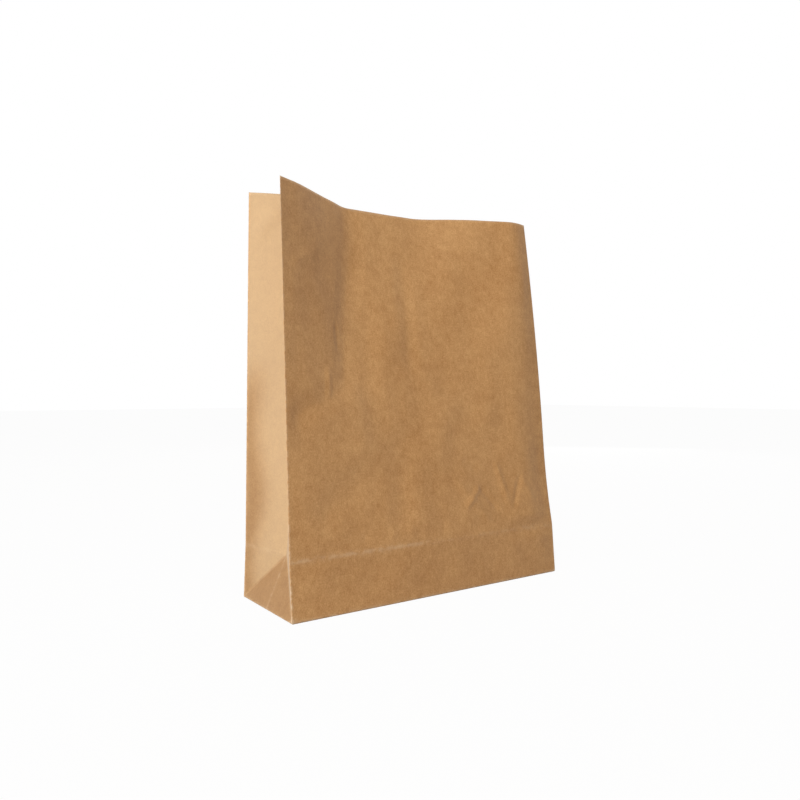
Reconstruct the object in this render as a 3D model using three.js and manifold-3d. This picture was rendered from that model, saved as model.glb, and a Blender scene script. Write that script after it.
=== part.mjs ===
// Block bottom paper bag: one sheet of kraft paper, pasted into a tube with two
// side gussets, folded and pasted flat at the base and cut plain at the mouth.
// It stands opened, with its gussets pushed in and its mouth pinched half shut.
//
// Lengths are in millimetres and +Z is up. The origin is the middle of the base,
// on the surface that the bag stands on. The front panel faces -Y.

import * as THREE from 'three';
import Module from 'manifold-3d';
import { mergeVertices } from 'three/addons/utils/BufferGeometryUtils.js';

const { clamp, lerp, smoothstep } = THREE.MathUtils;

// The sheet
const paper = 0.15;        // thickness of one layer
const panelWidth = 250;    // front and back panels, from fold to fold
const gussetWidth = 80;    // each gusset opened out, which is the depth of the base
const wallHeight = 300;    // paper from the base fold up to the cut edge of the mouth
const seamLap = 15;        // pasted lap that closes the tube, on the back panel
const seamInset = 30;      // from the back panel's left fold to the lap
const flapReach = 52;      // long base flaps, from their fold to their free edge
const endFlapReach = 52;   // base flaps of the gussets, inside the long ones
const foldInset = 0.6;     // where the paper rounds over, from a fold to a flap's flat face

// How the opened bag stands
const gussetPush = 16;     // gusset's middle pushed in, at its low crease
const mouthSetBack = 3;    // middle of the mouth at each side, behind the base's middle
const leftGap = 52;        // front fold to back fold at the mouth, on the left
const rightGap = 43;       // the same on the right
const pinchGap = 15;       // front to back where the mouth is pinched
const backDip = 2;         // back panel's mouth edge bowed inwards
const backDipPlace = 130;  // how far along the back panel that bow is deepest
const pinchStart = 80;     // where the pinched stretch starts, from the front's left fold
const pinchEnd = 144;      // where it ends
const rightRise = 80;      // height at which the front starts to turn out again, past the pinch
const rightCurl = 16;      // breadth of the strip that curls back at the right fold
const curlAngle = 14;      // degrees
const bendLength = 22;     // paper over which one direction turns into the next
const steepest = 0.9;      // sine of the steepest direction that a panel may take

// Fineness of the facets
const columnPitch = 8.5;
const rowPitch = 21;
const foldSteps = 4;       // facets over half a gusset, and up to the low crease
const mitreLimit = 0.4;    // keeps the corners of the thickness from running out to points
const weldWithin = 1e-4;   // points closer than this become one
const countSlack = 1e-6;   // share of a facet that rounding may leave over

const colours = { kraft: 0xb08655 };

const halfWidth = panelWidth / 2;
const halfGusset = gussetWidth / 2;
const floorUnderside = 2 * paper;
const floorTop = 3 * paper;

/** Evenly spaced places from one end of a length to the other, both included. */
function spaced(from, to, pitch) {
  const count = Math.max(1, Math.ceil((to - from) / pitch - countSlack));
  return Array.from({ length: count + 1 }, (_, i) => lerp(from, to, i / count));
}

/** Places along a panel, with a column of facets at each stop. */
function panelPlaces(stops, pitch) {
  const places = [stops[0]];
  for (let i = 1; i < stops.length; i++) {
    places.push(...spaced(stops[i - 1], stops[i], pitch).slice(1));
  }
  return places;
}

/**
 * The low corner folds in closed form. Three flat triangles meet at the low end
 * of each gusset's middle: pushing that point in leans the panels' foot strips.
 */
function lowFold(push) {
  const sink = Math.sqrt(1 - (push / halfGusset) ** 2);
  const tilt = 2 * Math.atan((1 - sink) / (1 + sink));
  return {
    lean: halfGusset * Math.sin(tilt),
    creaseHeight: halfGusset * Math.cos(tilt),
    apexHeight: halfGusset * sink,
  };
}

/** How far up a height lies, from 0 at a start to 1 at the mouth. */
function grown(height, start) {
  return clamp((height - start) / (wallHeight - start), 0, 1);
}

/** Direction, in radians, of a run that steps back by some length over its own. */
function slope(stepBack, length) {
  return Math.asin(clamp(stepBack / length, -steepest, steepest));
}

const mouth = {
  frontLeft: mouthSetBack - leftGap / 2,
  backLeft: mouthSetBack + leftGap / 2,
};
mouth.backDeepest = mouth.backLeft - backDip;
mouth.pinch = mouth.backDeepest - pinchGap;
mouth.backRight = mouthSetBack + rightGap / 2;
mouth.frontRight = mouth.backRight - rightGap;

// Runs of the two panels in plan: where each run starts, its direction at the
// mouth, and the height at which it starts to turn.
const frontRuns = [
  { start: 0, turn: slope(mouth.pinch - mouth.frontLeft, pinchStart), rise: halfGusset },
  { start: pinchStart, turn: 0, rise: halfGusset },
  {
    start: pinchEnd,
    turn: slope(mouth.frontRight - mouth.pinch, panelWidth - rightCurl - pinchEnd),
    rise: rightRise,
  },
  { start: panelWidth - rightCurl, turn: THREE.MathUtils.degToRad(curlAngle), rise: rightRise },
];
const backRuns = [
  { start: 0, turn: slope(-backDip, backDipPlace), rise: halfGusset },
  {
    start: backDipPlace,
    turn: slope(mouth.backRight - mouth.backDeepest, panelWidth - backDipPlace),
    rise: halfGusset,
  },
];

/** Direction of a panel in plan, at a place along it and a height. */
function direction(runs, along, height) {
  const turns = runs.map((run) => run.turn * grown(height, run.rise));
  let angle = turns[0];
  for (let i = 1; i < runs.length; i++) {
    const half = bendLength / 2;
    const passed = smoothstep(along, runs[i].start - half, runs[i].start + half);
    angle += passed * (turns[i] - turns[i - 1]);
  }
  return angle;
}

/** A panel's line in plan: it keeps its length while it changes direction. */
function panelLine(start, places, directionAt) {
  const line = [start.clone()];
  for (let i = 1; i < places.length; i++) {
    const step = places[i] - places[i - 1];
    const angle = directionAt((places[i] + places[i - 1]) / 2);
    const next = new THREE.Vector2(Math.cos(angle), Math.sin(angle)).multiplyScalar(step);
    line.push(next.add(line[i - 1]));
  }
  return line;
}

/** Middle of a gusset in plan, half a gusset's breadth from both folds. */
function gussetMiddle(front, back, drop, side) {
  const across = back.clone().sub(front);
  const half = across.length() / 2;
  const reach = Math.sqrt(Math.max(halfGusset ** 2 - half ** 2 - drop ** 2, 0));
  const inward = new THREE.Vector2(across.y, -across.x).normalize().multiplyScalar(-side);
  return front.clone().add(back).multiplyScalar(0.5).addScaledVector(inward, reach);
}

const frontPlaces = panelPlaces([0, panelWidth], columnPitch);
const backPlaces = panelPlaces(
  [0, seamInset - paper, seamInset, seamInset + seamLap, seamInset + seamLap + paper, panelWidth],
  columnPitch,
);
const gussetPlaces = spaced(0, gussetWidth, halfGusset / foldSteps);
const isLap = (along) => along > seamInset - paper / 2 && along < seamInset + seamLap + paper / 2;

/** Joins four lines of points into one ring, anticlockwise seen from above. */
function ring(front, right, back, left) {
  return [
    ...front.slice(0, -1),
    ...right.slice(0, -1),
    ...[...back].reverse().slice(0, -1),
    ...[...left].reverse().slice(0, -1),
  ];
}

/** Ring of the folded foot, at a height between the base fold and the low crease. */
function footRing(height) {
  const fold = lowFold(gussetPush);
  const up = height / halfGusset;
  const panel = (places, side) =>
    places.map(
      (along) =>
        new THREE.Vector3(
          along - halfWidth,
          side * (halfGusset - fold.lean * up),
          fold.creaseHeight * up,
        ),
    );
  const gusset = (side) =>
    gussetPlaces.map((across) => {
      // Each half is mirrored about the gusset's middle: near is the fold's side.
      const near = across <= halfGusset ? across : gussetWidth - across;
      const hand = across <= halfGusset ? -1 : 1;
      const point = new THREE.Vector3(side * halfWidth, hand * halfGusset, 0);
      const apex = new THREE.Vector3(
        side * (halfWidth - gussetPush), 0, fold.apexHeight);
      if (height <= near) {
        // Base triangle: square steps along the base fold, then up its slope.
        const upSlope = apex.clone().setY(0).sub(new THREE.Vector3(side * halfWidth, 0, 0));
        point.y = hand * (halfGusset - near);
        return point.addScaledVector(upSlope, up);
      }
      // Corner triangle, between the panel's fold and the diagonal crease.
      const crease = new THREE.Vector3(
        side * halfWidth, hand * (halfGusset - fold.lean), fold.creaseHeight);
      const upFold = crease.clone().sub(point).multiplyScalar(up);
      const acrossFold = apex.sub(crease).multiplyScalar(near / halfGusset);
      return point.add(upFold).add(acrossFold);
    });
  return ring(panel(frontPlaces, -1), gusset(1), panel(backPlaces, 1), gusset(-1));
}

/** Plan of the wall's ring at a height above the low crease. */
function wallPlan(height, dropLeft, dropRight) {
  const { lean } = lowFold(gussetPush);
  const up = grown(height, halfGusset);
  const frontLeft = new THREE.Vector2(
    -halfWidth, lerp(-halfGusset + lean, mouth.frontLeft, up));
  const backLeft = new THREE.Vector2(
    -halfWidth, lerp(halfGusset - lean, mouth.backLeft, up));
  const front = panelLine(frontLeft, frontPlaces, (along) => direction(frontRuns, along, height));
  const back = panelLine(backLeft, backPlaces, (along) => direction(backRuns, along, height));
  const gusset = (near, far, drop, side) => {
    const middle = gussetMiddle(near, far, drop, side);
    return gussetPlaces.map((across) =>
      across <= halfGusset
        ? near.clone().lerp(middle, across / halfGusset)
        : middle.clone().lerp(far, across / halfGusset - 1));
  };
  const right = gusset(front.at(-1), back.at(-1), dropRight, 1);
  const left = gusset(front[0], back[0], dropLeft, -1);
  return ring(front, right, back, left);
}

/** Rings of the sheet's middle surface, from the base fold up to the mouth. */
function sheetRings() {
  const rings = spaced(0, halfGusset, halfGusset / foldSteps).map(footRing);
  const columns = rings[0].length;
  const rightFold = frontPlaces.length - 1;
  const rightMiddle = rightFold + foldSteps;
  const leftMiddle = columns - foldSteps;
  const heights = spaced(halfGusset, wallHeight, rowPitch);
  for (let i = 1; i < heights.length; i++) {
    const below = rings.at(-1);
    const rise = heights[i] - heights[i - 1];
    const plan = wallPlan(
      heights[i],
      below[0].z - below[leftMiddle].z,
      below[rightFold].z - below[rightMiddle].z,
    );
    // Each column keeps its length, so what leans also stands lower.
    rings.push(plan.map((point, j) => {
      const shift = Math.hypot(point.x - below[j].x, point.y - below[j].y);
      const climb = Math.sqrt(Math.max(rise ** 2 - shift ** 2, 0));
      return new THREE.Vector3(point.x, point.y, below[j].z + climb);
    }));
  }
  const middleOfFloor = (floorUnderside + floorTop) / 2;
  return rings.map((points) => points.map((p) => p.clone().setZ(p.z + middleOfFloor)));
}

/** Outward unit vector and mitre length at each point of the middle surface. */
function mitres(rings) {
  const columns = rings[0].length;
  const facing = rings.slice(0, -1).map((points, i) =>
    points.map((point, j) => {
      const next = (j + 1) % columns;
      const rise = rings[i + 1][next].clone().sub(point);
      const fall = points[next].clone().sub(rings[i + 1][j]);
      return fall.cross(rise).normalize();
    }));
  return rings.map((points, i) =>
    points.map((_, j) => {
      const last = (j + columns - 1) % columns;
      const rows = [i - 1, i].filter((row) => row >= 0 && row < facing.length);
      const near = rows.flatMap((row) => [facing[row][last], facing[row][j]]);
      const out = new THREE.Vector3();
      near.forEach((normal) => out.add(normal));
      out.normalize();
      const lined = near.reduce((sum, normal) => sum + normal.dot(out), 0) / near.length;
      return { out, length: 1 / Math.max(lined, mitreLimit) };
    }));
}

/** Columns that lie on the pasted lap, in the order of a ring. */
function lapColumns() {
  const none = (places) => places.map(() => false);
  return ring(none(frontPlaces), none(gussetPlaces), backPlaces.map(isLap), none(gussetPlaces));
}

/** Adds the strip of triangles between two rings, with its creases as edges. */
function addStrip(indices, lower, upper, columns, flipped) {
  const leftStart = columns - gussetPlaces.length + 1;
  const rightStart = frontPlaces.length - 1;
  const leaning = (j) =>
    (j >= rightStart && j < rightStart + foldSteps) ||
    (j >= leftStart && j < leftStart + foldSteps);
  for (let j = 0; j < columns; j++) {
    const next = (j + 1) % columns;
    const [a, b, c, d] = [lower + j, lower + next, upper + next, upper + j];
    const faces = leaning(j) ? [[a, b, c], [a, c, d]] : [[a, b, d], [b, c, d]];
    faces.forEach((face) => indices.push(...(flipped ? face.reverse() : face)));
  }
}

/** Adds a flat fan of triangles that closes a ring around its middle. */
function addFan(indices, start, middle, columns, facingUp) {
  for (let j = 0; j < columns; j++) {
    const face = [start + j, start + ((j + 1) % columns), middle];
    indices.push(...(facingUp ? face : face.reverse()));
  }
}

/** A mesh's geometry from its points and triangles. */
function geometryFrom(points, indices) {
  const geometry = new THREE.BufferGeometry().setFromPoints(points);
  geometry.setIndex(indices);
  return geometry;
}

/** Walls and floor as one closed sheet with both of its faces and a cut rim. */
function wallsAndFloor(rings) {
  const columns = rings[0].length;
  const corners = mitres(rings);
  const lap = lapColumns();
  const skin = (side, floor) =>
    rings.flatMap((points, i) =>
      points.map((point, j) => {
        const layers = side > 0 && lap[j] ? 1.5 : 0.5;
        const { out, length } = corners[i][j];
        const moved = point.clone().addScaledVector(out, side * paper * layers * length);
        return i === 0 ? moved.setZ(floor) : moved;
      }));
  const outer = skin(1, floorUnderside);
  const inner = skin(-1, floorTop);
  const points = [...outer, ...inner];
  const indices = [];
  for (let i = 0; i + 1 < rings.length; i++) {
    addStrip(indices, i * columns, (i + 1) * columns, columns, false);
    addStrip(indices, outer.length + i * columns, outer.length + (i + 1) * columns, columns, true);
  }
  const rim = (rings.length - 1) * columns;
  addStrip(indices, rim, outer.length + rim, columns, false);
  points.push(new THREE.Vector3(0, 0, floorUnderside), new THREE.Vector3(0, 0, floorTop));
  addFan(indices, 0, points.length - 2, columns, false);
  addFan(indices, outer.length, points.length - 1, columns, true);
  return geometryFrom(points, indices);
}

/** A flat flap of the base, from its outline and its lower and upper levels. */
function flap(outline, bottom, top) {
  const shape = new THREE.Shape(outline.map(([x, y]) => new THREE.Vector2(x, y)));
  const options = { depth: top - bottom, bevelEnabled: false };
  return new THREE.ExtrudeGeometry(shape, options).translate(0, 0, bottom);
}

/** Long flap of the base: its ends follow the tucked corners at 45 degrees. */
function longFlap(side, bottom, top) {
  const fold = side * (halfGusset - foldInset);
  const edge = side * (halfGusset - flapReach);
  const folded = halfWidth - foldInset;
  const free = halfWidth - flapReach;
  return flap([[-folded, fold], [folded, fold], [free, edge], [-free, edge]], bottom, top);
}

/** Base flap of one gusset, laid over the floor inside the bag. */
function endFlap(side, bottom, top) {
  const near = side * (halfWidth - endFlapReach);
  const far = side * (halfWidth - foldInset);
  const half = halfGusset - foldInset;
  return flap([[near, -half], [far, -half], [far, half], [near, half]], bottom, top);
}

const wasm = await Module();
wasm.setup();

/** Turns a closed geometry into a solid that can be joined and cut. */
function solid(geometry) {
  const bare = geometry.clone();
  ['normal', 'uv'].forEach((name) => bare.deleteAttribute(name));
  const merged = mergeVertices(bare, weldWithin);
  return new wasm.Manifold(new wasm.Mesh({
    numProp: 3,
    vertProperties: merged.attributes.position.array,
    triVerts: new Uint32Array(merged.index.array),
  }));
}

/** Turns a solid back into a geometry. */
function geometryOf(body) {
  const { numProp, vertProperties, triVerts } = body.getMesh();
  const geometry = new THREE.BufferGeometry();
  geometry.setAttribute('position', new THREE.BufferAttribute(vertProperties, numProp));
  geometry.setIndex(new THREE.BufferAttribute(triVerts, 1));
  geometry.computeVertexNormals();
  return geometry;
}

/** The whole bag as one closed body. */
function paperBag() {
  const intoFloor = (floorUnderside + floorTop) / 2;
  const flaps = [
    longFlap(1, paper, intoFloor),
    longFlap(-1, 0, intoFloor),
    endFlap(1, intoFloor, floorTop + paper),
    endFlap(-1, intoFloor, floorTop + paper),
  ];
  return flaps.reduce((body, piece) => body.add(solid(piece)), solid(wallsAndFloor(sheetRings())));
}

const kraft = new THREE.MeshStandardMaterial({
  color: colours.kraft,
  roughness: 0.9,
  metalness: 0,
});

const bag = new THREE.Mesh(geometryOf(paperBag()), kraft);
bag.name = 'paper_bag';

const group = new THREE.Group();
group.name = 'block_bottom_paper_bag';
group.add(bag);

export default group;
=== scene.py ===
"""Looks of the block bottom paper bag: one folded sheet of brown kraft paper, with its light and camera.

The sheet is laid out flat as a grid, folded point by point to the bag's shape, and given its thickness.
Lengths are in metres and angles in degrees. The front panel faces -Y, and the base stands on z = 0.
"""

import logging
import math
from dataclasses import dataclass
from enum import Enum

import bmesh
import bpy
import numpy as np
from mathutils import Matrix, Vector, noise


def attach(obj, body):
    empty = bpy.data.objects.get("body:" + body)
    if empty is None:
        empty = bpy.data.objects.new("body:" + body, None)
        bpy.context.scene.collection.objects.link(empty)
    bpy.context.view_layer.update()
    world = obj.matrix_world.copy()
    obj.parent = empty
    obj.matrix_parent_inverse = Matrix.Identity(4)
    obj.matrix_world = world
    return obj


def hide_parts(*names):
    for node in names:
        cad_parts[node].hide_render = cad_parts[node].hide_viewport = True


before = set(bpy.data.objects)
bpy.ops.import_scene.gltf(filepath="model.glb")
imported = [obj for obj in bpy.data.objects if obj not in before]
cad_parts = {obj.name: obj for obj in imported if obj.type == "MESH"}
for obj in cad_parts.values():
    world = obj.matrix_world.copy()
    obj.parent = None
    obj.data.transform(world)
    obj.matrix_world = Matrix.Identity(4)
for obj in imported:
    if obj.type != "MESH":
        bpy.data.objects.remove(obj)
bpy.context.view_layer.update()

MILLIMETRE = 0.001
TINY = 1e-9         # lengths below this are none
SAME_PLACE = 1e-6   # columns closer than this are one
END_FADE = 0.3      # share of a crease over which each of its ends fades
END_HELD = 0.4      # how far the fade has come at the very end
logging.basicConfig(level=logging.INFO, format="%(message)s")
LOG = logging.getLogger("paper_bag")


class Side(Enum):
    """Panels of the tube, in the order in which a ring passes them, seen from above."""

    FRONT = 0
    RIGHT = 1
    BACK = 2
    LEFT = 3


def smooth(share: np.ndarray) -> np.ndarray:
    """Eases a share from 0 to 1, flat at both ends."""
    held = np.clip(share, 0.0, 1.0)
    return held * held * (3.0 - 2.0 * held)


def peak(gap: np.ndarray, breadth: float) -> np.ndarray:
    """1 where a gap is none, falling off like a bell over a breadth."""
    return np.exp(-((gap / breadth) ** 2))


def rounded(corner: np.ndarray, before: np.ndarray, after: np.ndarray, rim: float,
            share: float) -> np.ndarray:
    """A point of the arc that rounds a fold.

    Args:
        corner: the sharp fold.
        before: direction in which the sheet comes to it.
        after: direction in which it leaves.
        rim: length of sheet on each side that the arc takes in.
        share: place on the arc, from -rim to rim.

    Returns:
        The point.
    """
    return corner - before * (rim - share) ** 2 / (4 * rim) + after * (rim + share) ** 2 / (4 * rim)


def slope(step_back: float, length: float) -> float:
    """Direction, in degrees, of a run that steps back by some length over its own."""
    return math.degrees(math.asin(step_back / length))


@dataclass(frozen=True)
class Run:
    """A stretch of a panel that keeps one direction in plan.

    Args:
        start: where the run starts along the panel.
        turn: its direction at the mouth, in degrees.
        rise: height at which it starts to turn.
    """

    start: float
    turn: float
    rise: float


@dataclass(frozen=True)
class Crease:
    """A crease or soft dent of a panel, from one point of the sheet to another.

    Args:
        start: place along the panel and height of one end, in millimetres.
        end: the other end.
        depth: how far it stands out, in millimetres, or in if it is negative.
        width: breadth of each flank, in millimetres.
        sharp: True for a crisp crease with straight flanks.
        panel: the panel that it is on.
    """

    start: tuple[float, float]
    end: tuple[float, float]
    depth: float
    width: float
    sharp: bool = False
    panel: Side = Side.FRONT

    def relief(self, along: np.ndarray, height: np.ndarray) -> np.ndarray:
        """How far it moves the sheet.

        Args:
            along: places along the panel, in metres.
            height: heights on the sheet, in metres.

        Returns:
            The outward shift of each point, in metres.
        """
        ends = np.array([self.start, self.end]) * MILLIMETRE
        span = ends[1] - ends[0]
        length = float(np.hypot(*span))
        offset = np.stack([along - ends[0, 0], height - ends[0, 1]], -1)
        share = (offset @ span) / length**2
        nearest = np.clip(share, 0.0, 1.0)[..., None] * span
        gap = np.hypot(*np.moveaxis(offset - nearest, -1, 0)) / (self.width * MILLIMETRE)
        flank = np.clip(1.0 - gap, 0.0, 1.0) if self.sharp else peak(gap, 1.0)
        fade = smooth(share / END_FADE + END_HELD) * smooth((1.0 - share) / END_FADE + END_HELD)
        return self.depth * MILLIMETRE * flank * fade


@dataclass(frozen=True)
class Places:
    """Points of the sheet, by row and column.

    Args:
        part: number of the panel that each point is on.
        along: its place along that panel.
        height: its height on the sheet.
        edge: its distance from the panel's nearer upright fold.
    """

    part: np.ndarray
    along: np.ndarray
    height: np.ndarray
    edge: np.ndarray

    @property
    def gusset(self) -> np.ndarray:
        """True where a point is on a gusset."""
        return self.part % 2 == 1


@dataclass(frozen=True)
class Sheet:
    """Sizes of the sheet, and the way in which the opened bag stands.

    Args:
        panel: width of the front and of the back.
        gusset: width of a side, over its middle fold.
        wall: height of the sheet above the base fold.
        layer: thickness of the paper.
        lap: width of the pasted lap on the back.
        lap_inset: its distance from the back's left fold.
        fold_round: length of sheet on each side of a fold that its rounding takes in.
        push: how far a gusset's middle fold is pushed in at the foot.
        set_back: how far back the mouth's middle line lies.
        left_gap: distance between the front's and the back's left folds at the mouth.
        right_gap: the same at the right folds.
        pinch_gap: distance between the two panels where the mouth is narrowest.
        back_dip: how far the back's mouth leans in there.
        back_dip_place: place of that dip along the back.
        pinch: where the mouth's narrow stretch starts and ends along the front.
        right_rise: height at which the front's right part starts to turn.
        right_curl: length of its curl beside the right fold.
        curl_angle: direction of that curl at the mouth, in degrees.
        bend: length over which one direction passes into the next.
        ease: height over which a turn sets in.
    """

    panel: float = 0.250
    gusset: float = 0.080
    wall: float = 0.300
    layer: float = 0.00015
    lap: float = 0.015
    lap_inset: float = 0.030
    fold_round: float = 0.0007
    push: float = 0.016
    set_back: float = 0.003
    left_gap: float = 0.052
    right_gap: float = 0.043
    pinch_gap: float = 0.015
    back_dip: float = 0.002
    back_dip_place: float = 0.130
    pinch: tuple[float, float] = (0.080, 0.144)
    right_rise: float = 0.080
    right_curl: float = 0.016
    curl_angle: float = 14.0
    bend: float = 0.022
    ease: float = 0.030

    @property
    def front_left(self) -> float:
        """How far back the front's left fold lies at the mouth."""
        return self.set_back - self.left_gap / 2

    @property
    def back_left(self) -> float:
        """How far back the back's left fold lies at the mouth."""
        return self.set_back + self.left_gap / 2

    @property
    def half(self) -> float:
        """Half a gusset, which is also the height of the low crease."""
        return self.gusset / 2

    @property
    def around(self) -> float:
        """Length of one whole ring."""
        return 2 * (self.panel + self.gusset)

    @property
    def folds(self) -> list[float]:
        """Places of the upright folds around the ring."""
        corners = [0.0, self.panel, self.panel + self.gusset, 2 * self.panel + self.gusset]
        middles = [self.panel + self.half, 2 * self.panel + self.gusset + self.half]
        return sorted(corners + middles)

    def low_fold(self) -> tuple[float, float, float]:
        """The closed form of the low corner folds.

        Returns:
            How far a panel leans in at the low crease, the crease's height, and the
            height of the point where a gusset's folds meet.
        """
        sink = math.sqrt(1.0 - (self.push / self.half) ** 2)
        tilt = 2.0 * math.atan((1.0 - sink) / (1.0 + sink))
        return self.half * math.sin(tilt), self.half * math.cos(tilt), self.half * sink

    def grown(self, height: float, start: float) -> float:
        """How far up a height lies, from 0 at a start to 1 at the mouth."""
        return min(max((height - start) / (self.wall - start), 0.0), 1.0)

    def turned(self, height: float, rise: float) -> float:
        """Share of a run's turn at a height, which sets in softly where it starts above the low crease."""
        ease = self.ease if rise > self.half else TINY
        above = height - rise
        if above >= ease:
            return self.grown(height, rise)
        return max(above + ease, 0.0) ** 2 / (4 * ease) / (self.wall - rise)

    def front_runs(self) -> list[Run]:
        """Runs of the front panel, from its left fold to its right one."""
        deepest = self.back_left - self.back_dip - self.pinch_gap
        right = self.set_back - self.right_gap / 2
        curl_start = self.panel - self.right_curl
        return [
            Run(0.0, slope(deepest - self.front_left, self.pinch[0]), self.half),
            Run(self.pinch[0], 0.0, self.half),
            Run(self.pinch[1], slope(right - deepest, curl_start - self.pinch[1]), self.right_rise),
            Run(curl_start, self.curl_angle, self.right_rise),
        ]

    def back_runs(self) -> list[Run]:
        """Runs of the back panel, from its left fold to its right one."""
        place = self.back_dip_place
        dip = self.back_left - self.back_dip
        back_right = self.set_back + self.right_gap / 2
        return [
            Run(0.0, slope(-self.back_dip, place), self.half),
            Run(place, slope(back_right - dip, self.panel - place), self.half),
        ]

    def direction(self, runs: list[Run], along: np.ndarray, height: float) -> np.ndarray:
        """Direction of a panel in plan.

        Args:
            runs: the panel's runs.
            along: places along it.
            height: one height on the sheet.

        Returns:
            The direction at each place, in radians.
        """
        turns = [math.radians(run.turn) * self.turned(height, run.rise) for run in runs]
        angle = np.full_like(along, turns[0])
        for run, before, turn in zip(runs[1:], turns[:-1], turns[1:]):
            angle += smooth((along - run.start) / self.bend + 0.5) * (turn - before)
        return angle

    def line(self, left: np.ndarray, places: np.ndarray, runs: list[Run], height: float) -> np.ndarray:
        """A panel's line in plan, which keeps its length as it turns.

        Args:
            left: the panel's left fold in plan.
            places: rising places along the panel, the first of them 0.
            runs: the panel's runs.
            height: one height on the sheet.

        Returns:
            The point of each place, as rows of x and y.
        """
        angle = self.direction(runs, (places[1:] + places[:-1]) / 2, height)
        steps = np.diff(places)
        moves = np.stack([np.cos(angle) * steps, np.sin(angle) * steps], -1)
        return left + np.concatenate([[[0.0, 0.0]], np.cumsum(moves, 0)])

    def gusset_middle(self, front: np.ndarray, back: np.ndarray, drop: float, side: int) -> np.ndarray:
        """Middle fold of a gusset in plan, half a gusset from both of its folds."""
        across = back - front
        half = float(np.hypot(*across)) / 2
        reach = math.sqrt(max(self.half**2 - half**2 - drop**2, 0.0))
        inward = np.array([across[1], -across[0]]) / (2 * half) * -side
        return (front + back) / 2 + inward * reach

    def part_of(self, around: np.ndarray) -> tuple[np.ndarray, np.ndarray]:
        """Which panel each place of a ring is on, and how far along.

        Args:
            around: places around the ring, from the front's left fold.

        Returns:
            The panel's number, and the place along it: from the left fold on the front
            and the back, and from the front fold on a gusset.
        """
        ring = np.mod(around, self.around)
        ends = np.cumsum([self.panel, self.gusset, self.panel])
        part = np.searchsorted(ends, ring, side="right")
        starts = np.concatenate([[0.0], ends])[part]
        length = np.where(part % 2 == 0, self.panel, self.gusset)
        along = ring - starts
        return part, np.where(part >= 2, length - along, along)

    def places(self, around: np.ndarray, heights: np.ndarray) -> Places:
        """Points of the sheet, for places around the ring and heights on the sheet."""
        part, along = self.part_of(around)
        along, height = np.meshgrid(along, heights)
        part = np.broadcast_to(part, along.shape)
        length = np.where(part % 2 == 0, self.panel, self.gusset)
        return Places(part, along, height, np.minimum(along, length - along))

    def foot_row(self, part: np.ndarray, along: np.ndarray, height: float) -> np.ndarray:
        """Points of one row of the folded foot, below the low crease."""
        lean, crease, apex = self.low_fold()
        up = height / self.half
        wide = self.panel / 2
        points = np.zeros((len(along), 3))
        for side, panel in ((-1, Side.FRONT), (1, Side.BACK)):
            at = part == panel.value
            points[at, 0] = along[at] - wide
            points[at, 1] = side * (self.half - lean * up)
            points[at, 2] = crease * up
        for side, panel in ((1, Side.RIGHT), (-1, Side.LEFT)):
            at = np.flatnonzero(part == panel.value)
            hand = np.where(along[at] <= self.half, -1.0, 1.0)
            near = np.where(along[at] <= self.half, along[at], self.gusset - along[at])
            low = np.stack([np.full(len(at), side * (wide - self.push * up)), hand * (self.half - near),
                            np.full(len(at), apex * up)], -1)
            share = near / self.half
            corner = np.stack([side * (wide - self.push * share),
                               hand * (self.half - lean * up - (self.half - lean) * share),
                               crease * up + (apex - crease) * share], -1)
            points[at] = np.where((height <= near)[:, None], low, corner)
        return points

    def wall_row(self, part: np.ndarray, along: np.ndarray, height: float,
                 drops: dict[Side, float]) -> np.ndarray:
        """Plan of one row above the low crease, as x and y."""
        lean, _, _ = self.low_fold()
        up = self.grown(height, self.half)
        wide = self.panel / 2
        lefts = {
            Side.FRONT: np.array([-wide, (-self.half + lean) * (1 - up) + self.front_left * up]),
            Side.BACK: np.array([-wide, (self.half - lean) * (1 - up) + self.back_left * up]),
        }
        plan = np.zeros((len(along), 2))
        rights = {}
        for panel, runs in ((Side.FRONT, self.front_runs()), (Side.BACK, self.back_runs())):
            at = np.flatnonzero(part == panel.value)
            places = np.unique(np.concatenate([[0.0], along[at], [self.panel]]))
            line = self.line(lefts[panel], places, runs, height)
            plan[at] = line[np.searchsorted(places, along[at])]
            rights[panel] = line[-1]
        for side, panel, ends in ((1, Side.RIGHT, rights), (-1, Side.LEFT, lefts)):
            middle = self.gusset_middle(ends[Side.FRONT], ends[Side.BACK], drops[panel], side)
            at = np.flatnonzero(part == panel.value)
            share = (along[at] / self.half)[:, None]
            near = ends[Side.FRONT] + (middle - ends[Side.FRONT]) * share
            far = middle + (ends[Side.BACK] - middle) * (share - 1.0)
            plan[at] = np.where(share <= 1.0, near, far)
        return plan

    def fold_up(self, around: np.ndarray, heights: np.ndarray) -> np.ndarray:
        """Folds the whole wall.

        Args:
            around: places around the ring, one for each column.
            heights: heights on the sheet from 0 up, with one at the low crease.

        Returns:
            A point for each row and column.
        """
        part, along = self.part_of(around)
        rows = [self.foot_row(part, along, float(h)) for h in heights if h <= self.half + TINY]
        upper = [float(h) for h in heights if h > self.half + TINY]
        _, crease, apex = self.low_fold()
        drops = {Side.LEFT: crease - apex, Side.RIGHT: crease - apex}
        below = self.half
        for height in upper:
            plan = self.wall_row(part, along, height, drops)
            shift = np.hypot(*(plan - rows[-1][:, :2]).T)
            climb = np.sqrt(np.maximum((height - below) ** 2 - shift**2, 0.0))
            rows.append(np.column_stack([plan, rows[-1][:, 2] + climb]))
            below = height
            for panel in (Side.LEFT, Side.RIGHT):
                at = np.flatnonzero(part == panel.value)
                low = rows[-1][at[np.argmin(abs(along[at] - self.half))], 2]
                high = rows[-1][at[np.argmin(along[at])], 2]
                drops[panel] = high - low
        return np.array(rows)


def new_object(name: str, data: bpy.types.ID) -> bpy.types.Object:
    """Adds an object with its data to the scene."""
    made = bpy.data.objects.new(name, data)
    bpy.context.scene.collection.objects.link(made)
    return made


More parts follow.
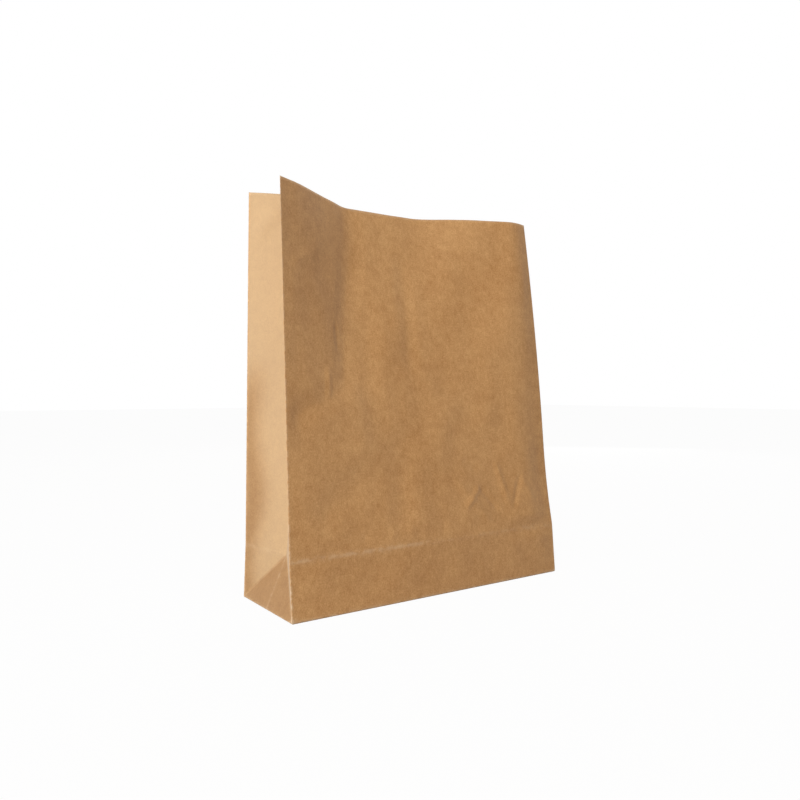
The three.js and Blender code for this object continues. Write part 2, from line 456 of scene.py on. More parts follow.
def new_group(name: str, inputs: dict[str, float], outputs: dict[str, str]) -> bpy.types.NodeTree:
    """Starts a shader node group.

    Args:
        name: the group's name.
        inputs: float inputs with their defaults. It gets a vector input named Place too.
        outputs: each output's name and socket type.

    Returns:
        The empty group.
    """
    group = bpy.data.node_groups.new(name, "ShaderNodeTree")
    group.interface.new_socket("Place", in_out="INPUT", socket_type="NodeSocketVector")
    for label, value in inputs.items():
        socket = group.interface.new_socket(label, in_out="INPUT", socket_type="NodeSocketFloat")
        socket.default_value = value
    for label, kind in outputs.items():
        group.interface.new_socket(label, in_out="OUTPUT", socket_type=kind)
    return group


@dataclass(frozen=True)
class Grain:
    """A noise pattern.

    Args:
        stretch: its features for each metre, along each axis.
        detail: levels of finer noise on it.
    """

    stretch: tuple[float, float, float]
    detail: float


class Nodes:
    """Short way to place and join the nodes of one tree."""

    def __init__(self, tree: bpy.types.NodeTree) -> None:
        """Starts with an empty tree."""
        self.tree = tree
        tree.nodes.clear()

    def add(self, kind: str, links: dict[str | int, bpy.types.NodeSocket] | None = None,
            **settings: object) -> bpy.types.Node:
        """Adds one node.

        Args:
            kind: the node's type, without ShaderNode in front.
            links: sockets that feed its inputs.
            settings: its properties, or values of its inputs.

        Returns:
            The node.
        """
        node = self.tree.nodes.new(kind if kind.startswith("NodeGroup") else "ShaderNode" + kind)
        for name, value in settings.items():
            if name.title() in node.inputs:
                node.inputs[name.title()].default_value = value
            else:
                setattr(node, name, value)
        for name, socket in (links or {}).items():
            self.tree.links.new(socket, node.inputs[name])
        return node

    def math(self, operation: str, first: bpy.types.NodeSocket | float,
             second: bpy.types.NodeSocket | float) -> bpy.types.NodeSocket:
        """Joins two values by one operation, and returns the result's socket."""
        node = self.add("Math", operation=operation)
        for index, value in enumerate((first, second)):
            if isinstance(value, bpy.types.NodeSocket):
                self.tree.links.new(value, node.inputs[index])
            else:
                node.inputs[index].default_value = value
        return node.outputs[0]

    def weighed(self, first: bpy.types.NodeSocket, second: bpy.types.NodeSocket,
                shares: tuple[float, float]) -> bpy.types.NodeSocket:
        """Adds two values, each times its share."""
        return self.math("ADD", self.math("MULTIPLY", first, shares[0]),
                         self.math("MULTIPLY", second, shares[1]))

    def mix(self, factor: bpy.types.NodeSocket, first: bpy.types.NodeSocket | tuple[float, ...],
            second: bpy.types.NodeSocket | tuple[float, ...]) -> bpy.types.NodeSocket:
        """Mixes two colours.

        Args:
            factor: share of the second colour.
            first: a socket or a linear colour.
            second: a socket or a linear colour.

        Returns:
            The mixed colour's socket.
        """
        node = self.add("Mix", {"Factor": factor}, data_type="RGBA")
        for name, part in (("A", first), ("B", second)):
            if isinstance(part, bpy.types.NodeSocket):
                self.tree.links.new(part, node.inputs[name])
            else:
                node.inputs[name].default_value = (*part, 1.0)
        return node.outputs["Result"]

    def mask(self, name: str) -> bpy.types.NodeSocket:
        """Value of one of the mesh's own masks."""
        return self.add("Attribute", attribute_name=name).outputs["Fac"]

    def shown(self) -> bpy.types.NodeSocket:
        """1 for the rays to which the room is plain white, and 0 for those that light the bag."""
        rays = self.add("LightPath")
        seen = self.math("MAXIMUM", rays.outputs["Is Camera Ray"], rays.outputs["Is Glossy Ray"])
        return self.math("MAXIMUM", seen, rays.outputs["Is Transmission Ray"])

    def noise(self, place: bpy.types.NodeSocket, grain: Grain) -> bpy.types.NodeSocket:
        """Value of a noise pattern at a place, around one half."""
        mapping = self.add("Mapping", {"Vector": place}, scale=grain.stretch)
        node = self.add("TexNoise", {"Vector": mapping.outputs[0]}, detail=grain.detail, scale=1.0)
        return node.outputs[0]

    def spread(self, value: bpy.types.NodeSocket, low: float, high: float, to_low: float = 0.0,
               to_high: float = 1.0) -> bpy.types.NodeSocket:
        """Maps one range of a value to another and clamps it."""
        node = self.add("MapRange", {"Value": value})
        for index, number in enumerate((low, high, to_low, to_high), 1):
            node.inputs[index].default_value = number
        return node.outputs[0]


@dataclass(frozen=True)
class Pulp:
    """Pattern of unbleached pulp.

    Args:
        fine: the finest fibres.
        strand: longer fibres.
        cloud: cloudy formation.
        broad: slow drift of the tone.
        speck: dark specks.
        fibre_shares: weights of the finest and the longer fibres in the tone.
        relief_shares: weights of the finest fibres and the clouds in the relief.
        speck_range: noise values between which a speck sets in.
        fibre: weight of all fibres in the tone.
        clouding: weight of the formation in the tone.
    """

    fine: Grain = Grain((1200.0, 800.0, 600.0), 4.0)
    strand: Grain = Grain((420.0, 230.0, 200.0), 3.0)
    cloud: Grain = Grain((130.0, 110.0, 90.0), 4.0)
    broad: Grain = Grain((20.0, 15.0, 12.0), 3.0)
    speck: Grain = Grain((900.0, 420.0, 500.0), 1.0)
    fibre_shares: tuple[float, float] = (1.6, 0.9)
    relief_shares: tuple[float, float] = (0.6, 0.4)
    speck_range: tuple[float, float] = (0.71, 0.78)
    fibre: float = 0.52
    clouding: float = 0.42

    def group(self) -> bpy.types.NodeTree:
        """Builds the group: fibres and clouds as a tone, dark specks, and fine relief."""
        outputs = dict.fromkeys(("Tone", "Specks", "Relief"), "NodeSocketFloat")
        group = new_group("kraft_fibres", {"Fibre": self.fibre, "Cloud": self.clouding}, outputs)
        nodes = Nodes(group)
        source = nodes.add("NodeGroupInput")
        place = source.outputs["Place"]
        fine = nodes.noise(place, self.fine)
        strand = nodes.noise(place, self.strand)
        cloud = nodes.noise(place, self.cloud)
        broad = nodes.noise(place, self.broad)
        pulp = nodes.weighed(fine, strand, self.fibre_shares)
        fibres = nodes.math("MULTIPLY", pulp, source.outputs["Fibre"])
        clouds = nodes.math("MULTIPLY", nodes.math("ADD", cloud, broad), source.outputs["Cloud"])
        tone = nodes.math("ADD", fibres, clouds)
        specks = nodes.spread(nodes.noise(place, self.speck), *self.speck_range)
        relief = nodes.weighed(fine, cloud, self.relief_shares)
        nodes.add("NodeGroupOutput", {"Tone": tone, "Specks": specks, "Relief": relief})
        return group


@dataclass(frozen=True)
class FoldWearAndHighlight:
    """Breaks up the mask of wear and painted highlight, so that folds look rubbed and uneven.

    Args:
        patch: pattern of the unrubbed patches.
        patch_range: noise values between which a patch sets in.
        breakup: how much of the wear a patch takes away.
    """

    patch: Grain = Grain((190.0, 260.0, 300.0), 5.0)
    patch_range: tuple[float, float] = (0.40, 0.60)
    breakup: float = 0.85

    def group(self) -> bpy.types.NodeTree:
        """Builds the group."""
        group = new_group("fold_wear_and_highlight", {"Mask": 0.0, "Breakup": self.breakup}, {"Wear": "NodeSocketFloat"})
        nodes = Nodes(group)
        source = nodes.add("NodeGroupInput")
        patches = nodes.spread(nodes.noise(source.outputs["Place"], self.patch), *self.patch_range)
        kept = nodes.math("SUBTRACT", 1.0, nodes.math("MULTIPLY", source.outputs["Breakup"], patches))
        nodes.add("NodeGroupOutput", {"Wear": nodes.math("MULTIPLY", source.outputs["Mask"], kept)})
        return group


@dataclass(frozen=True)
class KraftPaper:
    """Finish of the sheet: matt brown kraft, paler where its folds are rubbed, with a painted highlight
    along the upright folds, painted light on the gussets and painted shade on their lower triangles and back
    folds.

    Args:
        dark: linear colour of the darker fibres.
        light: linear colour of the paler fibres.
        painted_light: linear colour of the painted light that makes the gussets paler, where the side light
            falls on them.
        wear_and_highlight_colour: linear colour of rubbed folds, and of the painted highlight along the
            upright folds.
        painted_shade_colour: linear colour of the painted shade on the gussets' lower triangles and back
            folds.
        tone_range: tones of the pulp that give the darker and the paler colour.
        speck_depth: how much a dark speck covers.
        speck_shade: its brightness, as a share of the darker fibres.
        painted_shade_depth: how much the painted shade darkens the paper.
        rough_tones: tones of the pulp that give the two roughnesses.
        roughness: roughness of dark and of pale fibres.
        relief: height of the fine relief, in metres.
        relief_strength: strength of its bump.
        specular: strength of the gloss.
        sheen: weight of the soft sheen of loose fibres.
        sheen_roughness: its roughness.
        pulp: pattern of the fibres.
        wear: pattern that breaks up the wear and the painted highlight.
    """

    dark: tuple[float, float, float] = (0.376, 0.182, 0.057)
    light: tuple[float, float, float] = (0.568, 0.322, 0.130)
    painted_light: tuple[float, float, float] = (0.500, 0.372, 0.222)
    wear_and_highlight_colour: tuple[float, float, float] = (0.64, 0.47, 0.30)
    painted_shade_colour: tuple[float, float, float] = (0.15, 0.08, 0.03)
    tone_range: tuple[float, float] = (0.83, 1.31)
    speck_depth: float = 0.35
    speck_shade: float = 0.6
    painted_shade_depth: float = 0.40
    rough_tones: tuple[float, float] = (0.8, 1.35)
    roughness: tuple[float, float] = (0.54, 0.70)
    relief: float = 0.00006
    relief_strength: float = 0.6
    specular: float = 0.25
    sheen: float = 0.12
    sheen_roughness: float = 0.6
    pulp: Pulp = Pulp()
    wear: FoldWearAndHighlight = FoldWearAndHighlight()

    def material(self) -> bpy.types.Material:
        """Builds the material, on the sheet's own coordinates."""
        made = bpy.data.materials.new("kraft_paper_finish")
        made.use_nodes = True
        nodes = Nodes(made.node_tree)
        place = nodes.add("UVMap", uv_map="sheet").outputs["UV"]
        fibres = nodes.add("Group", {"Place": place}, node_tree=self.pulp.group())
        wear = nodes.add("Group", {"Place": place, "Mask": nodes.mask("wear_and_highlight")}, node_tree=self.wear.group())
        tone = nodes.spread(fibres.outputs["Tone"], *self.tone_range)
        colour = nodes.mix(tone, self.dark, self.light)
        speck = nodes.math("MULTIPLY", fibres.outputs["Specks"], self.speck_depth)
        colour = nodes.mix(speck, colour, tuple(part * self.speck_shade for part in self.dark))
        # Painted light: the gussets are painted paler, where the side light falls on them.
        colour = nodes.mix(nodes.mask("painted_light"), colour, self.painted_light)
        # Painted shade: the gussets' lower triangles and a band along their back folds are painted darker.
        painted_shade = nodes.math("MULTIPLY", nodes.mask("painted_shade"), self.painted_shade_depth)
        colour = nodes.mix(painted_shade, colour, self.painted_shade_colour)
        # Rubbed folds, mouth and base, and a painted highlight along the upright folds.
        colour = nodes.mix(wear.outputs["Wear"], colour, self.wear_and_highlight_colour)
        rough = nodes.spread(fibres.outputs["Tone"], *self.rough_tones, *self.roughness)
        bump = nodes.add("Bump", {"Height": fibres.outputs["Relief"]}, distance=self.relief,
                         strength=self.relief_strength)
        shader = nodes.add("BsdfPrincipled", {"Base Color": colour, "Roughness": rough,
                                              "Normal": bump.outputs["Normal"]})
        shader.inputs["Specular IOR Level"].default_value = self.specular
        shader.inputs["Sheen Weight"].default_value = self.sheen
        shader.inputs["Sheen Roughness"].default_value = self.sheen_roughness
        nodes.add("OutputMaterial", {"Surface": shader.outputs["BSDF"]})
        return made


@dataclass(frozen=True)
class Wrinkles:
    """Creases, soft dents and cockle of the sheet, and where they die out.

    Args:
        slant: the slanting crease at the top of each gusset, from its upright folds.
        slant_calm: distance from a fold over which it sets in.
        crease_calm: distance from a fold over which any crease sets in.
        fold_calm: distance from an upright fold over which all relief sets in.
        low_calm: the same, from the low crease.
        base_calm: the same, from the base fold.
        mouth_start: height above which creases weaken towards the mouth.
        mouth_fade: height over which they do.
        mouth_loss: share of them that is lost there.
        cockle: height of the sheet's own waves.
        gusset_cockle: share of it on the gussets.
        broad_waves: size of the broad waves along and up the sheet, in millimetres.
        small_waves: size of the small waves.
        small_share: height of the small waves beside the broad ones.
        panel_step: moves the pattern from one panel to the next.
        small_step: moves the pattern of the small waves.
        creases: the creases and dents of the front and the back.
    """

    slant: Crease = Crease((2, 268), (24, 288), 1.5, 7)
    slant_calm: float = 0.004
    crease_calm: float = 0.006
    fold_calm: float = 0.014
    low_calm: float = 0.012
    base_calm: float = 0.02
    mouth_start: float = 0.235
    mouth_fade: float = 0.06
    mouth_loss: float = 0.75
    cockle: float = 0.0012
    gusset_cockle: float = 0.5
    broad_waves: tuple[float, float] = (42.0, 58.0)
    small_waves: tuple[float, float] = (17.0, 30.0)
    small_share: float = 0.4
    panel_step: float = 7.3
    small_step: float = 31.0
    creases: tuple[Crease, ...] = (
        Crease((-4, 133), (58, 158), -1.3, 12, True),
        Crease((58, 158), (66, 206), -1.4, 13, True),
        Crease((66, 206), (79, 262), -1.3, 14, True),
        Crease((79, 262), (85, 308), -1.0, 14, True),
        Crease((54, 156), (80, 310), -3.9, 56, True),
        Crease((-4, 133), (58, 158), -0.8, 26),
        Crease((56, 186), (55, 206), -1.1, 3.0, True),
        Crease((40, 150), (42, 172), 1.1, 3.0, True),
        Crease((121, 172), (127, 268), -2.0, 8),
        Crease((122, 120), (121, 172), -0.5, 8),
        Crease((157, 62), (173, 78), 1.5, 3.0, True),
        Crease((173, 78), (190, 58), -1.4, 3.5, True),
        Crease((150, 84), (180, 50), 0.9, 3.5),
        Crease((192, 96), (201, 64), 1.3, 3.5, True),
        Crease((206, 58), (217, 86), -1.2, 3.0, True),
        Crease((214, 86), (228, 64), 0.8, 3.5),
        Crease((160, 100), (172, 92), -0.7, 4),
        Crease((204, 110), (212, 190), -1.2, 12),
        Crease((213, 40), (216, 262), 2.6, 18),
        Crease((132, 96), (152, 150), 1.3, 12),
        Crease((98, 56), (96, 120), -1.5, 11),
        Crease((227, 30), (225, 118), 1.8, 14),
        Crease((92, 150), (100, 210), 1.0, 11),
        Crease((156, 196), (164, 300), 1.6, 50, True),
        Crease((20, 62), (72, 100), -1.2, 12),
        Crease((12, 243), (44, 262), 0.7, 4),
        Crease((60, 118), (104, 100), 1.0, 9),
        Crease((84, 44), (87, 54), 0.5, 2.5),
        Crease((62, 43), (60, 52), -0.5, 2.5),
        Crease((104, 44), (101, 55), 0.5, 2.5),
        Crease((130, 43), (134, 55), -0.5, 2.5),
        Crease((70, 120), (96, 214), -1.6, 14, panel=Side.BACK),
        Crease((96, 214), (130, 262), -1.0, 10, panel=Side.BACK),
        Crease((176, 60), (200, 176), 1.5, 16, panel=Side.BACK),
        Crease((150, 190), (214, 232), 1.0, 9, panel=Side.BACK),
        Crease((96, 58), (140, 92), -0.9, 7, panel=Side.BACK),
        Crease((206, 66), (226, 92), 0.9, 5, panel=Side.BACK),
        Crease((18, 205), (26, 262), 0.8, 7, panel=Side.BACK),
    )

    def wave(self, along: float, height: float, part: int) -> float:
        """Cockle of the sheet at a place in millimetres, about -1 to 1."""
        start = part * self.panel_step
        broad = noise.noise(Vector((along / self.broad_waves[0], height / self.broad_waves[1], start)))
        small = noise.noise(Vector((along / self.small_waves[0], height / self.small_waves[1],
                                    start + self.small_step)))
        return broad + self.small_share * small

    def shift(self, places: Places, sheet: Sheet) -> np.ndarray:
        """How far the sheet moves outwards.

        Args:
            places: points of the sheet.
            sheet: its sizes.

        Returns:
            The shift of each point, in metres.
        """
        calm = smooth(places.edge / self.fold_calm) * smooth(abs(places.height - sheet.half) / self.low_calm)
        calm *= smooth(places.height / self.base_calm)
        mouth = 1.0 - self.mouth_loss * smooth((places.height - self.mouth_start) / self.mouth_fade)
        shift = np.zeros_like(places.along)
        for crease in self.creases:
            here = places.part == crease.panel.value
            shift += np.where(here, crease.relief(places.along, places.height), 0.0) * mouth
        slant = self.slant.relief(places.edge, places.height) * smooth(places.edge / self.slant_calm)
        shift += np.where(places.gusset, slant, 0.0)
        waves = np.array([[self.wave(float(along) / MILLIMETRE, float(height) / MILLIMETRE, int(part))
                           for along, height, part in zip(*row)]
                          for row in zip(places.along, places.height, places.part)])
        amount = np.where(places.gusset, self.gusset_cockle, 1.0) * self.cockle
        return (shift * smooth(places.edge / self.crease_calm) + waves * amount) * calm


@dataclass(frozen=True)
class Line:
    """A rubbed line, which along the upright folds is also painted highlight: its strength, from 0 to 1, and
    its breadth in metres.
    """

    strength: float
    breadth: float

    def wear(self, gap: np.ndarray) -> np.ndarray:
        """Wear at a distance from the line."""
        return self.strength * peak(gap, self.breadth)


@dataclass(frozen=True)
class RubbingAndHighlight:
    """Where handling and folding have rubbed the paper pale, and a painted highlight along the upright
    folds.

    An end is given by its place and by the length over which the wear fades there.

    Args:
        fold: the upright folds, partly rubbed and partly painted highlight where their rounding catches the
            light.
        foot: the end of their stronger wear and painted highlight at the foot.
        foot_more: how much stronger it is, as a share.
        low: the low crease.
        low_shares: strength of the low crease on the front, a gusset and the back.
        left_end: where its strong left part on the front ends.
        left_more: how much stronger that part is.
        right_end: where it comes back on the right.
        right_more: how much stronger it is there.
        middle: the gussets' middle folds.
        base: the base fold.
        rim: the cut mouth.
        corner: the low corners.
    """

    # Partly wear and partly painted highlight, where the rounded fold catches the light.
    fold: Line = Line(0.55, 0.0011)
    foot: tuple[float, float] = (0.06, 0.05)
    foot_more: float = 0.45 / 0.55
    low: Line = Line(0.32, 0.0018)
    low_shares: tuple[float, float, float] = (0.35, 0.5, 0.6)
    left_end: tuple[float, float] = (0.135, 0.04)
    left_more: float = 0.65
    right_end: tuple[float, float] = (0.2, 0.03)
    right_more: float = 0.5
    middle: Line = Line(0.3, 0.001)
    base: Line = Line(0.6, 0.0012)
    rim: Line = Line(0.35, 0.0008)
    corner: Line = Line(1.0, 0.003)

    def mask(self, places: Places, sheet: Sheet) -> np.ndarray:
        """Wear of each point, with the painted highlight of the upright folds, from 0 to 1."""
        foot = smooth((self.foot[0] - places.height) / self.foot[1])
        left = smooth((self.left_end[0] - places.along) / self.left_end[1])
        right = smooth((places.along - self.right_end[0]) / self.right_end[1])
        on_front, on_gusset, on_back = self.low_shares
        front = on_front + self.left_more * left + self.right_more * right
        share = np.where(places.part == Side.FRONT.value, front, np.where(places.gusset, on_gusset, on_back))
        # The upright folds give wear and painted highlight; the other lines give wear.
        parts = [self.fold.wear(places.edge) * (1 + self.foot_more * foot),
                 self.low.wear(places.height - sheet.half) * share,
                 np.where(places.gusset, self.middle.wear(places.along - sheet.half), 0.0),
                 self.base.wear(places.height), self.rim.wear(sheet.wall - places.height),
                 self.corner.wear(np.hypot(places.edge, places.height))]
        return np.clip(np.maximum.reduce(parts), 0.0, 1.0)


@dataclass(frozen=True)
class GussetLightAndShade:
    """Painted light and painted shade on the gussets, as colour masks.

    Args:
        painted_light: strength of the painted light above the low corner folds.
        painted_light_below: share of it that is left below them.
        fold_fade: distance from an upright fold over which the masks set in.
        line_fade: breadth of the line between the two.
        shade_band_place: place of the band of painted shade along the back fold, from the front fold.
        shade_band_breadth: its breadth.
        shade_band_top: height at which it has gone.
        shade_band_fade: height over which it goes.
        shade_band_cover: share of the painted light that it takes away.
        drift: how far its edge wanders.
        drift_rate: how fast, for each metre.
    """

    painted_light: float = 0.6
    painted_light_below: float = 0.12
    fold_fade: float = 0.002
    line_fade: float = 0.003
    shade_band_place: float = 0.077
    shade_band_breadth: float = 0.011
    shade_band_top: float = 0.185
    shade_band_fade: float = 0.05
    shade_band_cover: float = 0.8
    drift: float = 0.004
    drift_rate: float = 60.0

    def masks(self, places: Places) -> dict[str, np.ndarray]:
        """Masks of the painted light on the upper part, and of the painted shade.

        Args:
            places: points of the sheet.

        Returns:
            The mask painted_light, and the mask painted_shade: the lower triangles, and a
            band along the back fold.
        """
        gusset = np.where(places.gusset, smooth(places.edge / self.fold_fade), 0.0)
        upper = smooth((places.height - places.edge) / self.line_fade + 0.5)
        drift = self.drift * np.sin(places.height * self.drift_rate)
        # Painted shade in a band along the back fold.
        shade_band = peak(places.along - self.shade_band_place - drift, self.shade_band_breadth) * upper
        shade_band = shade_band * smooth((self.shade_band_top - places.height) / self.shade_band_fade)
        # Painted light on the gussets, taken away where the band of painted shade lies.
        painted_light = self.painted_light * gusset * (self.painted_light_below + (1 - self.painted_light_below) * upper)
        # Painted shade on the lower triangles and in the band.
        painted_shade = gusset * np.maximum(1 - upper, shade_band)
        return {"painted_light": painted_light * (1 - self.shade_band_cover * shade_band), "painted_shade": painted_shade}


@dataclass
class PaperBag:
    """The bag: its folded wall, and the layers of its base.

    Args:
        sheet: sizes of the sheet and its stance.
        fine: pitch of the wall's mesh where it shows most, in metres.
        coarse: pitch on the back panel.
        finish: the paper's material.
        wrinkles: its creases, dents and cockle.
        rubbing_and_highlight: its wear, and the painted highlight along its upright folds.
        gusset_light_and_shade: the painted light and painted shade of the gussets.
        tuck: how far the wall turns under the base.
        lap_ramp: length over which the lap rises over the layer below.
        lap_rise: how far it rises, in layers of paper.
        wall_level: level of the wall's tuck above the floor, in layers of paper.
        base_levels: levels of the two long flaps, the bag's floor and the end flaps.
        base_inset: how far each layer of the base lies inside the one around it.
        flap_reach: reach of the base flaps from their folds.
        base_cells: cells of each flat layer of the base.
        base_shifts: where the long flaps, the floor and the end flaps start on the paper's pattern.
        base_drop: how far below its start they all lie.
        base_wear: wear of its cut edges.
    """

    sheet: Sheet = Sheet()
    fine: float = 0.002
    coarse: float = 0.005
    finish: KraftPaper = KraftPaper()
    wrinkles: Wrinkles = Wrinkles()
    rubbing_and_highlight: RubbingAndHighlight = RubbingAndHighlight()
    gusset_light_and_shade: GussetLightAndShade = GussetLightAndShade()
    tuck: float = 0.006
    lap_ramp: float = 0.004
    lap_rise: float = 1.1
    wall_level: float = 2.5
    base_levels: tuple[float, float, float, float] = (0.5, 1.5, 3.55, 4.6)
    base_inset: float = 0.0006
    flap_reach: float = 0.052
    base_cells: tuple[int, int] = (24, 8)
    base_shifts: tuple[float, float, float, float, float] = (1.0, 1.4, 1.8, 2.0, 2.4)
    base_drop: float = 0.2
    base_wear: float = 0.25

    def half_gusset_places(self) -> list[float]:
        """Places over half a gusset, the same as the heights of the foot's rows."""
        rim = self.sheet.fold_round
        near = [0.0, rim / 2, rim, 2 * rim]
        count = round(self.sheet.half / self.fine)
        inner = [self.sheet.half * i / count for i in range(1, count)]
        return sorted(near + inner + [self.sheet.half - part for part in near])

    def ring_places(self) -> np.ndarray:
        """Places of the columns, from one cut end of the sheet to the other."""
        sheet = self.sheet
        half = np.array(self.half_gusset_places())
        gusset = np.unique(np.round(np.concatenate([half, half + sheet.half]), 7))
        rim = sheet.fold_round
        edge = [0.0, rim / 2, rim, 2 * rim]
        front = np.arange(1, round(sheet.panel / self.fine)) * self.fine
        back = np.arange(1, round(sheet.panel / self.coarse)) * self.coarse
        folded = [edge, [sheet.panel - part for part in edge]]
        start = sheet.panel + sheet.gusset
        lap_end = start + sheet.panel - sheet.lap_inset
        lap = [lap_end - sheet.lap, lap_end]
        ring = np.unique(np.round(np.concatenate([
            front, *folded, gusset + sheet.panel, back + start,
            *[np.array(part) + start for part in folded], gusset + 2 * sheet.panel + sheet.gusset, lap]), 6))
        ring = ring[ring < sheet.around - SAME_PLACE]
        twice = np.concatenate([ring, ring + sheet.around])
        return twice[(twice > lap[0] - SAME_PLACE) & (twice < lap[1] + sheet.around + SAME_PLACE)]

    def row_heights(self) -> np.ndarray:
        """Heights of the rows, from the base fold up to the mouth."""
        sheet = self.sheet
        foot = self.half_gusset_places()
        rim = sheet.fold_round
        above = [sheet.half + part for part in (rim / 2, rim, 2 * rim)]
        count = round((sheet.wall - sheet.half) / self.fine)
        wall = [sheet.half + (sheet.wall - sheet.half) * i / count for i in range(1, count + 1)]
        return np.unique(np.round(foot + above + wall, 7))

    def round_folds(self, points: np.ndarray, around: np.ndarray) -> None:
        """Rounds the sheet over its upright folds, in place."""
        rim = self.sheet.fold_round
        ring = np.mod(around, self.sheet.around)
        for fold in self.sheet.folds:
            gap = ring - fold
            gap = np.where(gap > self.sheet.around / 2, gap - self.sheet.around, gap)
            middle = int(np.argmin(abs(gap)))
            corner = points[:, middle].copy()
            before = (corner - points[:, middle - 2]) / rim
            after = (points[:, middle + 2] - corner) / rim
            for step in (-1, 0, 1):
                share = step * rim / 2
                points[:, middle + step] = rounded(corner, before, after, rim, share)

    def tucked(self, points: np.ndarray) -> np.ndarray:
        """Adds rows that turn under the base, and rounds the base fold.

        Args:
            points: the folded wall.

        Returns:
            The wall with its tucked rows first.
        """
        sheet = self.sheet
        rim = sheet.fold_round
        wide = sheet.panel / 2
        rows = []
        for inset in (self.tuck, 2 * rim, rim):
            row = points[0].copy()
            row[:, 0] = np.clip(row[:, 0], inset - wide, wide - inset)
            row[:, 1] = np.clip(row[:, 1], inset - sheet.half, sheet.half - inset)
            rows.append(row)
        corner = points[0].copy()
        before = (corner - rows[-1]) / rim
        after = (points[2] - corner) / rim
        below, points[0], points[1] = (rounded(corner, before, after, rim, share)
                                       for share in (-rim / 2, 0.0, rim / 2))
        return np.concatenate([np.array([*rows, below]), points])

    def lay_blank(self, shell: bmesh.types.BMesh, columns: int, rows: int) -> np.ndarray:
        """Adds the flat blank and returns its vertices by row and column."""
        made = bmesh.ops.create_grid(shell, x_segments=columns - 1, y_segments=rows - 1, size=1.0)
        places = np.empty((rows, columns), dtype=object)
        for vertex in made["verts"]:
            column = round((vertex.co.x + 1) / 2 * (columns - 1))
            row = round((vertex.co.y + 1) / 2 * (rows - 1))
            places[row, column] = vertex
        return places

    def fold_wall(self, shell: bmesh.types.BMesh) -> None:
        """Folds the blank up into the wall, with its marks."""
        sheet = self.sheet
        around = self.ring_places()
        heights = self.row_heights()
        points = sheet.fold_up(around, heights)
        self.round_folds(points, around)
        across = np.gradient(points, axis=1)
        upward = np.gradient(points, axis=0)
        normal = np.cross(across, upward)
        normal /= np.linalg.norm(normal, axis=2, keepdims=True) + 1e-12
        places = sheet.places(around, heights)
        points += normal * self.wrinkles.shift(places, sheet)[..., None]
        lapped = smooth((around - (around[-1] - sheet.lap - self.lap_ramp)) / self.lap_ramp)
        points += normal * (lapped * sheet.layer * self.lap_rise)[None, :, None]
        points = self.tucked(points)
        points[..., 2] += self.wall_level * sheet.layer
        extra = len(points) - len(heights)
        rim = sheet.fold_round
        levels = np.concatenate([[-self.tuck, -2 * rim, -rim, -rim / 2], heights])
        # Vertex masks: wear with the painted highlight of the upright folds, and the painted light and
        # painted shade of the gussets.
        masks = {"wear_and_highlight": self.rubbing_and_highlight.mask(places, sheet), **self.gusset_light_and_shade.masks(places)}
        marks = {name: np.concatenate([np.repeat(rows[:1], extra, 0), rows]) for name, rows in masks.items()}
        vertices = self.lay_blank(shell, len(around), len(points))
        sheet_map = shell.loops.layers.uv["sheet"]
        layers = {name: shell.verts.layers.float[name] for name in marks}
        flat = {}
        for row, column in np.ndindex(vertices.shape):
            vertex = vertices[row, column]
            vertex.co = points[row, column]
            flat[vertex] = (around[column], levels[row])
            for name, layer in layers.items():
                vertex[layer] = marks[name][row, column]
        for face in shell.faces:
            face.smooth = True
            for loop in face.loops:
                loop[sheet_map].uv = flat[loop.vert]
        self.crease_corners(shell, vertices, around, extra)

    def crease_corners(self, shell: bmesh.types.BMesh, vertices: np.ndarray, around: np.ndarray,
                       extra: int) -> None:
        """Splits the cells that the gussets' diagonal creases cross, along those creases."""
        ring = np.mod(around, self.sheet.around)
        steps = len(self.half_gusset_places()) - 1
        for fold in (0.0, self.sheet.panel, self.sheet.panel + self.sheet.gusset,
                     2 * self.sheet.panel + self.sheet.gusset):
            start = int(np.argmin(np.minimum(abs(ring - fold), abs(ring - fold - self.sheet.around))))
            hand = 1 if fold in (self.sheet.panel, 2 * self.sheet.panel + self.sheet.gusset) else -1
            for step in range(steps):
                ends = [vertices[extra + step, start + hand * step],
                        vertices[extra + step + 1, start + hand * (step + 1)]]
                made = bmesh.ops.connect_verts(shell, verts=ends)
                for edge in made["edges"]:
                    edge.smooth = False

    def plate(self, shell: bmesh.types.BMesh, corners: list[tuple[float, float]], level: float,
              shift: float) -> None:
        """Adds one flat layer of the base.

        Args:
            shell: the mesh.
            corners: its four corners, anticlockwise from the lowest x on the front side.
            level: height of its middle.
            shift: moves its part of the paper's pattern.
        """
        across, deep = self.base_cells
        made = bmesh.ops.create_grid(shell, x_segments=across, y_segments=deep, size=1.0)
        ends = np.array(corners)
        sheet_map = shell.loops.layers.uv["sheet"]
        wear_and_highlight = shell.verts.layers.float["wear_and_highlight"]
        for vertex in made["verts"]:
            right, back = (vertex.co.x + 1) / 2, (vertex.co.y + 1) / 2
            near = ends[0] * (1 - right) + ends[1] * right
            far = ends[3] * (1 - right) + ends[2] * right
            x, y = near * (1 - back) + far * back
            vertex.co = (x, y, level)
            vertex[wear_and_highlight] = self.base_wear if min(right, back, 1 - right, 1 - back) < SAME_PLACE else 0.0
        for face in {face for vertex in made["verts"] for face in vertex.link_faces}:
            face.smooth = False
            for loop in face.loops:
                loop[sheet_map].uv = (loop.vert.co.x + shift, loop.vert.co.y - self.base_drop)

